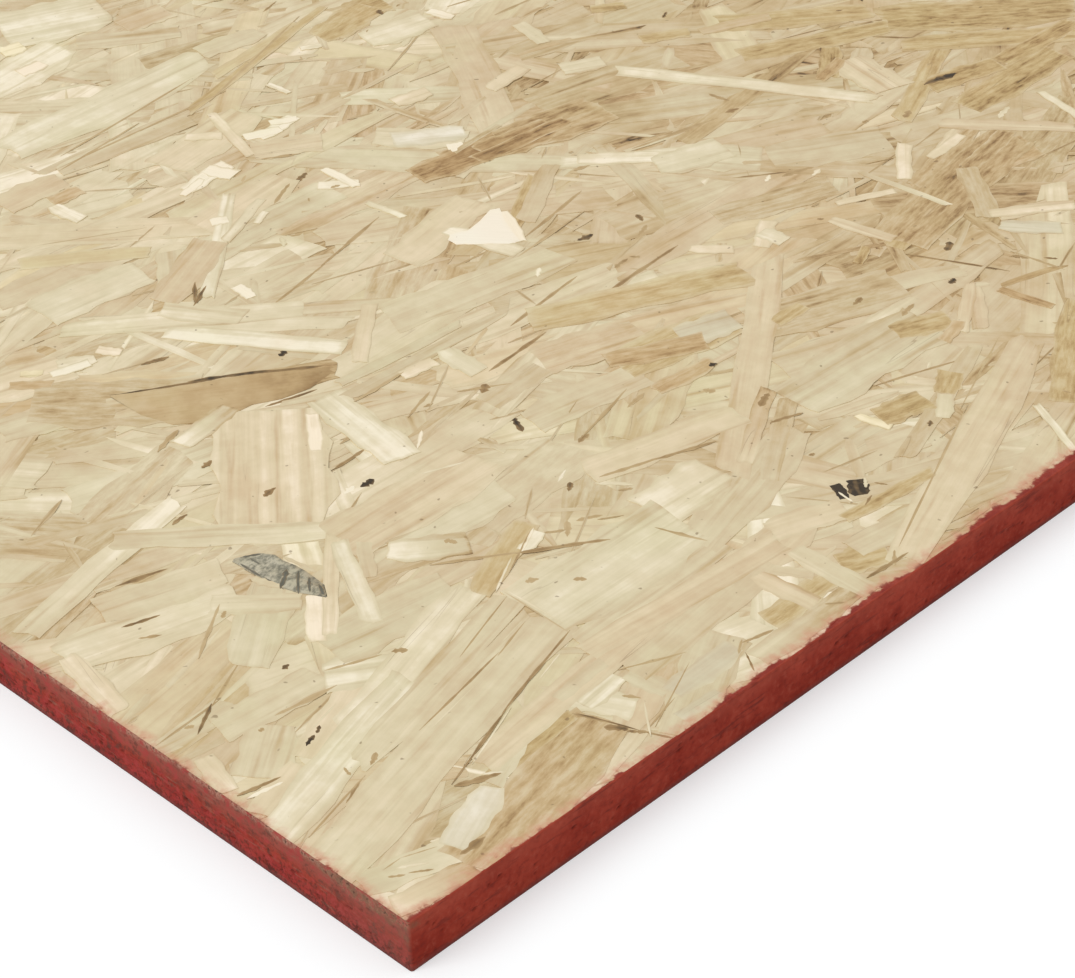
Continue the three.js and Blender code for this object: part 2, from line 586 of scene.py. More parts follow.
def strand_blank(rng, steps, lanes, ragged, taper, margin=0.0, lens=0.0):
    """A flake of unit length, width and thickness, its top at z = 0 and its rim turned down.

    Its ends are torn by up to the ragged share of its length and narrowed by the taper, its
    sides waver, and its second row of points lies a margin inside the rim. A lens has pointed
    ends and is at least that share of its width. Returns its points, its faces and how far
    each point is from the rim, 0 or 1.
    """
    blank = bmesh.new()
    bmesh.ops.create_grid(blank, x_segments=steps, y_segments=lanes, size=0.5)
    inside = blank.verts.layers.float.new("inside")
    for vertex in blank.verts:
        vertex[inside] = 0.0 if max(abs(vertex.co.x), abs(vertex.co.y)) > ON_RIM else 1.0
    shape_blank(blank, rng, steps, lanes, ragged, taper, margin, lens)
    rim = [edge for edge in blank.edges if edge.is_boundary]
    turned = bmesh.ops.extrude_edge_only(blank, edges=rim)["geom"]
    lowered = [part for part in turned if isinstance(part, bmesh.types.BMVert)]
    bmesh.ops.translate(blank, vec=(0, 0, -1), verts=lowered)
    blank.verts.index_update()
    points = np.array([vertex.co[:] for vertex in blank.verts])
    heart = np.array([vertex[inside] for vertex in blank.verts])
    faces = np.array([[vertex.index for vertex in face.verts] for face in blank.faces])
    blank.free()
    return points, faces, heart


def strand_blanks(rng, steps, lanes, ragged=0.0, taper=0.0, **shape):
    """As many different blanks as each kind of strand has."""
    return [strand_blank(rng, steps, lanes, ragged, taper, **shape) for _ in range(BLANKS)]


def outlined_blank(rng, left, right, lanes):
    """A flake like those of strand_blank, but with its own reach to either side in each row."""
    steps = len(left) - 1
    points, faces, heart = strand_blank(rng, steps, lanes, 0.0, 0.0)
    for point in points:
        station = min(max(round((point[0] + 0.5) * steps), 0), steps)
        side = max(min(point[1], 0.5), -0.5)
        reach = left[station] if side > 0 else right[station]
        point[0] = station / steps - 0.5 + rng.uniform(-0.01, 0.01)
        point[1] = 2 * side * reach + rng.uniform(-0.25, 0.25)
    return points, faces, heart


def strand(x, y, turn, length, width, z, tone, blank, **looks):
    """One strand: where its middle lies, its turn from +X, its size, its tone and its blank."""
    made = {"x": x, "y": y, "turn": turn, "length": length, "width": width, "z": z,
            "tone": tone, "blank": blank, "tip": 0.0, "roll": 0.0, "bow": 0.0, "change": 0.0,
            "rim": 0.0, "rim_cast": 0.45, "stripe": 0.3, "drift": 1.0, "tint": CASTS["plain"]}
    made.update(looks)
    return made


def laid_points(picked, blank, thickness, facing):
    """Where the points of one blank come to lie in each strand, and their grain coordinates."""
    unit_x, unit_y, unit_z = (blank[None, :, axis] for axis in range(3))
    along = unit_x * picked["length"]
    across = unit_y * picked["width"]
    bent = across + picked["bow"] * (2 * unit_x) ** 2
    cosine, sine = np.cos(picked["turn"]), np.sin(picked["turn"])
    x = picked["x"] + along * cosine - bent * sine
    y = picked["y"] + along * sine + bent * cosine
    z = picked["z"] + picked["tip"] * unit_x + picked["roll"] * unit_y + thickness * unit_z
    grain = [along + 7.7 * (picked["number"] % 41), across + 1.3 * (picked["number"] % 29)]
    return np.stack([x, y, facing * z], axis=2), np.stack(grain, axis=2)


def laid_looks(picked, blank, heart):
    """The tone and the tint of each of those points: darker down the side as painted shade, plainer
    at the rim.
    """
    tone = picked["tone"] + picked["change"] * blank[None, :, 0]
    tone = tone + picked["rim"] * (1 - heart[None, :])
    held = picked["rim_cast"] + (1 - picked["rim_cast"]) * heart[None, :]
    return tone + SIDE_SHADE * blank[None, :, 2], 1 + (picked["tint"] - 1) * held[:, :, None]


def lay_strands(name, strands, blanks, thickness, facing=1):
    """Join strands into one mesh. facing is 1 on the upper face and -1 on the underside."""
    table = {field: np.array([one[field] for one in strands]) for field in strands[0]}
    table["number"] = np.arange(len(strands))
    laid = {field: [] for field in ("points", "faces", "grain", "tone", "tint", "stripe", "drift")}
    offset = 0
    for number, (blank, faces, heart) in enumerate(blanks):
        rows = np.nonzero(table["blank"] == number)[0]
        picked = {field: values[rows][:, None] for field, values in table.items()}
        points, grain = laid_points(picked, blank, thickness, facing)
        tone, tint = laid_looks(picked, blank, heart)
        starts = offset + np.arange(len(rows)) * len(blank)
        turned = faces if facing > 0 else faces[:, ::-1]
        laid["points"].append(points.reshape(-1, 3))
        laid["faces"].append((turned[None] + starts[:, None, None]).reshape(-1, 4))
        laid["grain"].append(grain.reshape(-1, 2))
        laid["tone"].append(tone.ravel())
        laid["tint"].append(tint.reshape(-1, 3))
        for field in ("stripe", "drift"):
            laid[field].append(np.repeat(picked[field].ravel(), len(blank)))
        offset += len(rows) * len(blank)
    return strand_mesh(name, {field: np.concatenate(parts) for field, parts in laid.items()})


def strand_mesh(name, laid):
    """One mesh of the strands' points and faces, with what their material reads."""
    mesh = bpy.data.meshes.new(name)
    mesh.from_pydata(laid["points"].tolist(), [], laid["faces"].tolist())
    layer = mesh.uv_layers.new(name="Grain")
    layer.data.foreach_set("uv", laid["grain"][laid["faces"].ravel()].ravel())
    for field in ("tone", "stripe", "drift"):
        values = mesh.attributes.new(field, "FLOAT", "POINT")
        values.data.foreach_set("value", laid[field])
    tints = mesh.attributes.new("tint", "FLOAT_COLOR", "POINT")
    opaque = np.ones(len(laid["tint"]))
    tints.data.foreach_set("color", np.column_stack([laid["tint"], opaque]).ravel())
    return mesh


def trim_to_sheet(mesh):
    """Saw off what overhangs the sheet's outline."""
    shape = bmesh.new()
    shape.from_mesh(mesh)
    for outward, reach in (((1, 0, 0), HALF_LENGTH), ((-1, 0, 0), HALF_LENGTH),
                           ((0, 1, 0), HALF_WIDTH), ((0, -1, 0), HALF_WIDTH)):
        normal = Vector(outward)
        everything = shape.verts[:] + shape.edges[:] + shape.faces[:]
        bmesh.ops.bisect_plane(shape, geom=everything, dist=1e-7,
                               plane_co=normal * (reach - SAWN_OFF), plane_no=normal,
                               clear_outer=True)
    shape.to_mesh(mesh)
    shape.free()


def random_tone(rng, width):
    """How pale one strand is: mostly straw to cream; only slim ones are brown or bleached."""
    draw = rng.random()
    if draw < 0.035 and width < SLIM_BROWN:
        return rng.uniform(HONEY, TAN)
    if draw > 0.97 and width < SLIM_PALE:
        return rng.uniform(PALE, WHITE) - (0.0 if width < 5 * MM else 0.14)
    return min(max(rng.gauss(MEAN_TONE, 0.10), TAN - 0.04), PALE)


def random_tint(rng):
    """A strand's cast, from green to pink and now and then towards gold."""
    pink = rng.gauss(0.2, 0.35)
    gold = max(0.0, rng.gauss(-0.2, 0.4))
    return (1 + 0.02 * pink, 1 - 0.02 * pink - 0.04 * gold, 1 - 0.02 * pink - 0.16 * gold)


def softened(tone, amount, shadow=0.0):
    """How much a strand's rim differs from its middle, to blend it with what is round it, less a
    painted shade.
    """
    return amount * (MEAN_TONE - tone) - shadow if tone > 0.1 else 0.0


def scattered_strands(rng, lay, level, relief, tone_shift=0.0):
    """Strands on a jittered lattice over the whole sheet, their tops within a relief."""
    spacing, lengths, (narrow, wide), turns = lay
    strands = []
    columns = round(2 * HALF_LENGTH / spacing[0]) + 2
    rows = round(2 * HALF_WIDTH / spacing[1]) + 2
    for column in range(columns):
        for row in range(rows):
            x = -HALF_LENGTH + (column - 0.5 + rng.uniform(-0.6, 0.6)) * spacing[0]
            y = -HALF_WIDTH + (row - 0.5 + rng.uniform(-0.6, 0.6)) * spacing[1]
            turn = rng.gauss(*turns) if rng.random() < LEANING else rng.uniform(-1.5, 1.5)
            length = rng.uniform(*lengths)
            width = rng.triangular(narrow, wide, narrow + 0.3 * (wide - narrow))
            tone = random_tone(rng, width)
            strands.append(strand(
                x, y, turn, length, width, level - rng.uniform(0, relief),
                tone + tone_shift, rng.randrange(BLANKS),
                tip=rng.uniform(-0.12, 0.12) * MM, roll=rng.uniform(-0.06, 0.06) * MM,
                bow=rng.uniform(-0.012, 0.012) * length, change=rng.gauss(0, 0.12),
                # a rim shadow of up to 0.09 is painted shade along the strand's edge
                rim=softened(tone, 0.6, rng.uniform(-0.02, 0.09)),
                stripe=max(0.15, rng.gauss(0.4, 0.3)),
                tint=random_tint(rng)))
    rng.shuffle(strands)
    return strands


def emboldened(strands):
    """Make one strand in ten brown or bleached, as some at the near corner are."""
    rng = random.Random(BOLD_SEED)
    for one in strands:
        draw = rng.random()
        if draw < 0.05:
            one.update(tone=rng.uniform(HONEY, TAN), tint=CASTS["gold"])
        elif draw > 0.95:
            one.update(tone=rng.uniform(PALE, WHITE) - 0.05)
    return strands


def parted(strands):
    """The strands round the sheet's corner at low X and low Y, and the others."""
    near, rest = [], []
    for one in strands:
        side = near if one["x"] < FINE_X and one["y"] < FINE_Y else rest
        side.append(one)
    return near, rest


def put_in_scene(name, data):
    """A new object at the origin, with its mesh, lamp or camera."""
    made = bpy.data.objects.new(name, data)
    bpy.context.collection.objects.link(made)
    return made


def new_piece(name, mesh, material):
    """Put a finished mesh in the scene, on the sheet's body, with its material in a slot."""
    piece = put_in_scene(name, mesh)
    mesh.materials.append(material)
    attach(piece, "root")
    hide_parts(PANEL)
    return piece


def face_piece(name, strands, blanks, thickness, material, facing=1):
    """One joined piece of strands, sawn off at the sheet's edges."""
    mesh = lay_strands(name, strands, blanks, thickness, facing)
    trim_to_sheet(mesh)
    return new_piece(name, mesh, material)


# The strands that lie uppermost at the sheet's corner at low X and low Y, given one by
# one, later ones on top. Millimetres from that corner: start, end, width; then the tone at
# both ends and the cast.
CORNER_STRANDS = (
    # wide and quiet ones that the others lie on
    (190, 424, 290, 426, 24, 0.78, 0.74, "mossy"),
    (250, 508, 291, 491, 36, 0.84, 0.76, "mossy"),
    (135, 300, 195, 236, 10, 0.76, 0.78, "plain"),
    (123, 307, 190, 256, 12, 0.78, 0.78, "plain"),
    (70, 272, 111, 259, 15, 0.58, 0.56, "plain"),
    (141, 354, 179, 326, 9, 0.54, 0.52, "gold"),
    (222, 169, 260, 158, 20, 0.50, 0.48, "pink"),
    (205, 227, 278, 214, 20, 0.66, 0.64, "plain"),
    (194, 146, 240, 139, 16, 0.60, 0.62, "plain"),
    (275, 107, 320, 91, 19, 0.60, 0.58, "plain"),
    (311, 129, 366, 101, 10, 0.66, 0.66, "plain"),
    (322, 24, 377, 57, 12, 0.42, 0.40, "gold"),
    (361, 232, 378, 206, 20, 0.78, 0.72, "mossy"),
    (326, 261, 373, 222, 9, 0.84, 0.84, "mossy"),
    (345, 390, 375, 384, 18, 0.84, 0.80, "plain"),
    (463, 175, 524, 176, 17, 0.32, 0.40, "gold"),
    (498, 247, 559, 195, 27, 0.37, 0.37, "gold"),
    (452, 293, 501, 254, 16, 0.45, 0.45, "gold"),
    (436, 268, 496, 240, 13, 0.41, 0.41, "gold"),
    (486, 226, 543, 180, 14, 0.46, 0.46, "gold"),
    (501, 188, 549, 187, 10, 0.36, 0.36, "gold"),
    (309, 292, 368, 280, 11, 0.24, 0.40, "tawny"),
    (268, 397, 187, 401, 6, 0.48, 0.48, "plain"),
    (180, 39, 212, 44, 17, 0.62, 0.64, "pink"),
    (201, 47, 227, 38, 12, 0.70, 0.70, "pink"),
    (401, 145, 456, 138, 18, 0.36, 0.34, "rust"),
    (438, 187, 494, 212, 9, 0.50, 0.46, "gold"),
    (352, 413, 374, 410, 18, 0.34, 0.30, "gold"),
    (334, 406, 367, 410, 18, 0.40, 0.34, "gold"),
    (236, 254, 284, 264, 18, 0.76, 0.76, "pink"),
    (382, 205, 422, 181, 21, 0.62, 0.60, "mossy"),
    (335, 190, 382, 173, 15, 0.46, 0.44, "plain"),
    (211, 470, 258, 477, 25, 0.88, 0.86, "plain"),
    (223, 370, 272, 378, 21, 0.72, 0.74, "pink"),
    (114, 128, 161, 125, 19, 0.70, 0.72, "mossy"),
    (238, 146, 285, 141, 21, 0.38, 0.40, "gold"),
    (289, 132, 344, 111, 24, 0.46, 0.46, "plain"),
    (125, 321, 168, 318, 21, 0.74, 0.74, "mossy"),
    (202, 323, 248, 330, 19, 0.74, 0.74, "pink"),
    (76, 296, 110, 286, 20, 0.70, 0.68, "pink"),
    (192, 165, 220, 167, 12, 0.52, 0.50, "plain"),
    # by the edge along X
    (2, 21, 36, 10, 11, 0.56, PALE, "mossy"),
    (2, 8, 28, 3, 9, PALE, 0.38, "pink"),
    (108, 0, 152, 23, 18, 0.66, 0.60, "mossy"),
    (100, 14, 142, 34, 13, 0.62, 0.40, "pink"),
    (98, 38, 108, 18, 11, 0.74, 0.86, "mossy"),
    (99, 30, 116, 32, 8, 0.90, 0.88, "mossy"),
    (119, 31, 121, 16, 8, 0.66, 0.62, "mossy"),
    (121, 15, 150, 16, 10, 0.62, 0.60, "cold"),
    (114, 6, 131, 5, 5, 0.64, 0.62, "cold"),
    (150, 7, 196, 8, 10, CREAM, 0.36, "plain"),
    (120, 30, 188, 38, 15, 0.60, 0.54, "plain"),
    (28, 5, 99, 21, 23, 0.38, 0.36, "tawny"),
    (58, 27, 94, 30, 6, 0.36, HONEY, "gold"),
    (30, 13, 55, 24, 11, 0.76, 0.82, "cold"),
    (56, 24, 76, 33, 6, 0.60, 0.68, "mossy"),
    (60, 33, 142, 43, 11, 0.66, 0.62, "pink"),
    (96, 38, 118, 40, 5, 0.60, 0.58, "plain"),
    (166, 17, 195, 17, 10, TAN, 0.42, "gold"),
    (203, 20, 218, 13, 13, 0.28, 0.48, "gold"),
    (181, 35, 182, 12, 8, 0.70, 0.58, "pink"),
    (187, 33, 193, 22, 5, 0.60, 0.56, "plain"),
    (199, 35, 198, 3, 9, 0.74, 0.60, "plain"),
    (212, 22, 252, 16, 12, 0.66, 0.62, "plain"),
    (218, 6, 345, 54, 16, 0.78, 0.64, "pink"),
    (262, 42, 330, 66, 7, 0.50, 0.56, "plain"),
    (222, 34, 262, 30, 6, 0.40, TAN, "gold"),
    # two wide strands and the one that lies over their ends
    (3, 77, 7, 94, 7, 0.78, 0.78, "pink"),
    (12, 76, 31, 90, 17, 0.70, 0.70, "plain"),
    (2, 64, 24, 72, 8, 0.66, CREAM, "pink"),
    (28, 70, 62, 86, 14, 0.66, 0.76, "pink"),
    (18, 100, 56, 97, 14, 0.64, 0.60, "plain"),
    (56, 96, 76, 82, 16, 0.90, 0.84, "mossy"),
    (66, 106, 112, 99, 22, 0.64, 0.64, "mossy"),
    (44, 72, 116, 95, 14, 0.80, 0.78, "plain"),
    (-6, 52, 72, 76, 15, 0.80, 0.82, "mossy"),
    (36, 59, 122, 82, 12, 0.70, 0.60, "plain"),
    (-8, 31, 122, 66, 20, 0.72, 0.60, "plain"),
    (120, 51, 186, 54, 13, 0.64, 0.60, "plain"),
    (118, 47, 200, 41, 11, 0.66, 0.58, "pink"),
    (180, 58, 250, 78, 18, 0.62, 0.62, "plain"),
    (184, 82, 215, 82, 22, 0.88, 0.80, "plain"),
    (121, 71, 187, 71, 33, 0.76, 0.74, "mossy"),
    (116, 91, 152, 107, 10, 0.46, 0.46, "gold"),
    (141, 97, 152, 100, 5, 0.92, 0.92, "mossy"),
    (234.5, 48.5, 231, 41, 3.8, BARK, BARK, "plain"),
    (241, 45.5, 236, 38.5, 7.0, BARK, 0.05, "plain"),
    # further along X
    (216, 76, 326, 156, 12, 0.64, 0.66, "pink"),
    (222, 66, 262, 92, 7, 0.66, 0.42, "plain"),
    (224, 78, 262, 101, 6, 0.80, 0.48, "pink"),
    (186, 112, 244, 98, 15, 0.68, 0.68, "pink"),
    (262, 90, 330, 88, 26, 0.70, 0.60, "mossy"),
    (270, 69, 272, 56, 4, WHITE, 0.95, "gold"),
    (274, 63, 293, 58, 12, 0.38, 0.40, "gold"),
    (288, 47, 300, 55, 6, 0.82, 0.76, "plain"),
    (300, 56, 312, 62, 9, 0.46, 0.38, "gold"),
    (318, 92, 338, 84, 12, 0.34, 0.42, "gold"),
    (340, 72, 360, 90, 6, 0.64, 0.70, "pink"),
    (404, 114, 424, 106, 7, 0.88, 0.68, "pink"),
    (362, 128, 386, 136, 11, 0.46, 0.36, "gold"),
    (345, 131, 356, 136, 4, 0.34, 0.38, "gold"),
    (366, 130, 456, 149, 24, 0.42, 0.30, "tawny"),
    (402, 151, 450, 162, 8, 0.46, 0.42, "tawny"),
    (424, 144, 458, 151, 8, 0.26, 0.28, "tawny"),
    (372, 164, 394, 154, 4, WHITE, WHITE, "pink"),
    (403, 157, 424, 174, 6, 0.88, 0.86, "pink"),
    (426, 160, 446, 166, 5, 0.80, 0.80, "pink"),
    (396, 173, 399, 133, 3, 0.50, 0.92, "plain"),
    (312, 182, 322, 170, 6, 0.84, 0.78, "pink"),
    (330, 164, 346, 174, 7, PALE, 0.84, "pink"),
    (362, 158, 366, 132, 6, PALE, CREAM, "pink"),
    # by the edge along Y
    (92, 160, 140, 216, 38, 0.66, 0.76, "pink"),
    (8, 160, 64, 145, 20, 0.76, 0.74, "plain"),
    (4, 128, 10, 160, 8, 0.76, 0.80, "pink"),
    (30, 170, 70, 158, 16, 0.60, 0.66, "plain"),
    (44, 116, 80, 144, 17, 0.76, 0.62, "mossy"),
    (56, 148, 76, 128, 10, 0.78, 0.56, "plain"),
    (8, 178, 84, 198, 10, 0.62, 0.90, "plain"),
    (56, 196, 112, 146, 11, 0.58, 0.78, "plain"),
    (104, 142, 168, 142, 24, 0.60, 0.68, "pink"),
    (66, 110, 81, 128, 6, 0.84, 0.98, "pink"),
    (71, 110, 106, 147, 5, 0.80, 0.64, "pink"),
    (84, 105, 105, 143, 7, 0.88, 0.84, "mossy"),
    (99, 122, 110, 137, 5, 0.56, 0.62, "plain"),
    (112, 128, 132, 112, 13, 0.98, 0.50, "mossy"),
    (150, 162, 158, 208, 15, 0.96, 0.84, "mossy"),
    (134, 186, 148, 203, 5, WHITE, 0.90, "pink"),
    # beyond them
    (88, 278, 126, 238, 28, 0.34, 0.36, "plain"),
    (104, 255, 171, 217, 17, 0.46, 0.15, "tawny"),
    (106, 222, 132, 226, 9, 0.90, 0.38, "plain"),
    (156, 292, 172, 266, 12, 0.82, 0.64, "plain"),
    (147, 279, 183, 226, 10, 0.90, 0.88, "mossy"),
    (172, 286, 226, 336, 6, 0.78, 0.80, "mossy"),
    (184, 284, 183, 274, 5, WHITE, WHITE, "plain"),
    (108, 290, 120, 284, 7, 0.74, 0.78, "plain"),
    (166, 297, 184, 320, 12, 0.62, 0.58, "plain"),
    (180, 215, 208, 240, 6, 0.78, 0.66, "pink"),
    (278, 239, 312, 261, 6, 0.30, 0.42, "gold"),
    (286, 240, 322, 262, 8, 0.58, 0.52, "plain"),
    (332, 258, 356, 234, 9, 0.86, 0.90, "plain"),
    (348, 232, 376, 222, 18, 0.80, 0.84, "mossy"),
    (298, 296, 368, 284, 13, 0.16, 0.30, "tawny"),
    (332, 280, 367, 273, 13, 0.34, 0.36, "tawny"),
    (282, 294, 323, 288, 16, 0.20, 0.13, "rust"),
    (311, 288, 344, 283, 17, 0.13, 0.20, "rust"),
    (306, 286, 352, 282, 8, 0.13, 0.22, "rust"),
    (292, 328, 314, 300, 15, 0.74, 0.70, "plain"),
    (262, 257, 269, 226, 9, WHITE, 0.84, "plain"),
    (274, 231, 285, 251, 6, 1.10, 1.10, "plain"),
    (394, 296, 445, 205, 9, 0.90, 0.90, "plain"),
    (452, 222, 474, 236, 9, 0.80, 0.60, "plain"),
    (446, 230, 466, 246, 9, 0.34, 0.28, "gold"),
    (466, 196, 500, 188, 12, 0.24, 0.36, "gold"),
    (256, 293, 258, 275, 3, 0.70, 1.00, "plain"),
    (252, 316, 264, 306, 6, 0.88, 0.92, "plain"),
    (216, 350, 240, 354, 8, 0.96, 1.04, "plain"),
    (262, 360, 282, 363, 7, 0.96, WHITE, "plain"),
    # far from the corner along X
    (239, 191, 313, 156, 17, 0.46, 0.42, "gold"),
    (266, 145, 287, 138, 15, 0.68, 0.66, "cold"),
    (238, 153, 270, 136, 11, 0.31, 0.37, "rust"),
    (236, 128, 262, 126, 8, 0.35, 0.42, "rust"),
    (163, 202, 235, 201, 6, 0.56, 0.60, "mossy"),
    (166, 210, 221, 207, 5, 0.64, 0.60, "mossy"),
    (295, 126, 310, 127, 7, 0.38, 0.46, "gold"),
    (365, 83, 368, 62, 4, 0.36, 0.36, "rust"),
    (315, 29, 301, 2, 3, 0.96, 0.94, "plain"),
    (334, 75, 361, 93, 5, 0.78, 0.72, "pink"),
    (325, 76, 339, 80, 5, 0.44, 0.52, "rust"),
    (338, 171, 339, 160, 8, 0.86, 0.88, "plain"),
    (425, 145, 402, 116, 9, 0.50, 0.54, "plain"),
    (446, 174, 477, 134, 8, 0.74, 0.72, "pink"),
    (404, 118, 430, 99, 7, 0.84, 0.80, "pink"),
    (400, 110, 413, 92, 9, 0.82, 0.80, "cold"),
    (492, 161, 485, 137, 4, 1.0, 0.98, "plain"),
    (422, 160, 444, 162, 5, 0.86, 0.90, "pink"),
    (462, 234, 455, 205, 18, 0.80, 0.78, "pink"),
    (442, 231, 461, 236, 6, 0.36, 0.44, "rust"),
    # far from the corner both ways
    (295, 321, 318, 304, 13, 0.86, 0.84, "cold"),
    (316, 342, 332, 339, 9, 0.78, 0.74, "pink"),
    (349, 322, 371, 326, 8, 0.78, 0.74, "pink"),
    (380, 313, 396, 305, 11, 0.80, 0.76, "plain"),
    (397, 354, 392, 334, 7, 0.78, 0.76, "plain"),
    (380, 390, 383, 378, 6, 0.96, 0.92, "plain"),
    (305, 301, 311, 298, 5, 1.00, 1.00, "plain"),
    (304, 296, 331, 299, 2.6, 0.36, 0.40, "mossy"),
    (420, 307, 438, 297, 8, 0.42, 0.48, "gold"),
    (426, 341, 438, 333, 7, 0.42, 0.42, "gold"),
    (441, 294, 470, 282, 7, 0.56, 0.54, "pink"),
    # far from the corner along Y
    (205, 199, 203, 180, 9, 0.80, 0.78, "mossy"),
    (184, 198, 198, 196, 6, 0.84, 0.80, "pink"),
    (160, 295, 199, 314, 15, 0.52, 0.50, "pink"),
    (103, 287, 117, 283, 5, 0.94, 0.90, "mossy"),
    (96, 295, 102, 290, 4.5, 0.84, 0.84, "gold"),
    (124, 288, 128, 280, 5, 0.86, 0.88, "pink"),
    (89, 292, 100, 282, 5, 0.40, 0.36, "rust"),
    (193, 397, 253, 392, 11, 0.56, 0.50, "plain"),
    (264, 476, 299, 452, 13, 0.50, 0.54, "plain"),
    (162, 392, 190, 392, 15, 0.56, 0.46, "pink"),
    (292, 431, 321, 428, 13, 0.66, 0.60, "plain"),
    (283, 412, 338, 422, 6, 0.50, 0.46, "gold"),
    (286, 474, 308, 472, 16, 0.44, 0.56, "pink"),
    (253, 354, 276, 340, 14, 0.60, 0.62, "pink"),
    (177, 381, 190, 380, 8, 0.34, 0.42, "rust"),
    (354, 425, 258, 397, 5, 0.46, 0.46, "gold"),
    (175, 378, 176, 362, 7, 0.92, 0.90, "plain"),
    (243, 382, 253, 372, 6, 0.86, 0.84, "pink"),
    (262, 389, 250, 352, 5, 0.80, 0.74, "pink"),
    (232, 357, 236, 345, 8, 0.98, 0.96, "plain"),
    (213, 348, 226, 352, 4, 1.0, 0.96, "plain"),
    (258, 365, 272, 359, 6, 1.0, 0.98, "plain"),
    (272, 366, 282, 361, 5, 0.96, 0.96, "plain"),
    (262, 324, 262, 305, 4.5, 0.98, 0.98, "plain"),
    (238, 492, 248, 490, 10, 1.0, 0.96, "gold"),
    (293, 391, 294, 379, 3, 0.98, 0.94, "plain"),
    (322, 404, 330, 400, 4, 0.90, 0.86, "plain"),
    (232, 472, 244, 472, 8, 0.88, 0.86, "pink"),
    (207, 325, 213, 322, 6, 0.92, 0.88, "plain"),
    (218, 312, 226, 316, 3, 0.92, 0.92, "plain"),
    (202, 311, 231, 324, 4.5, 0.80, 0.76, "plain"),
)
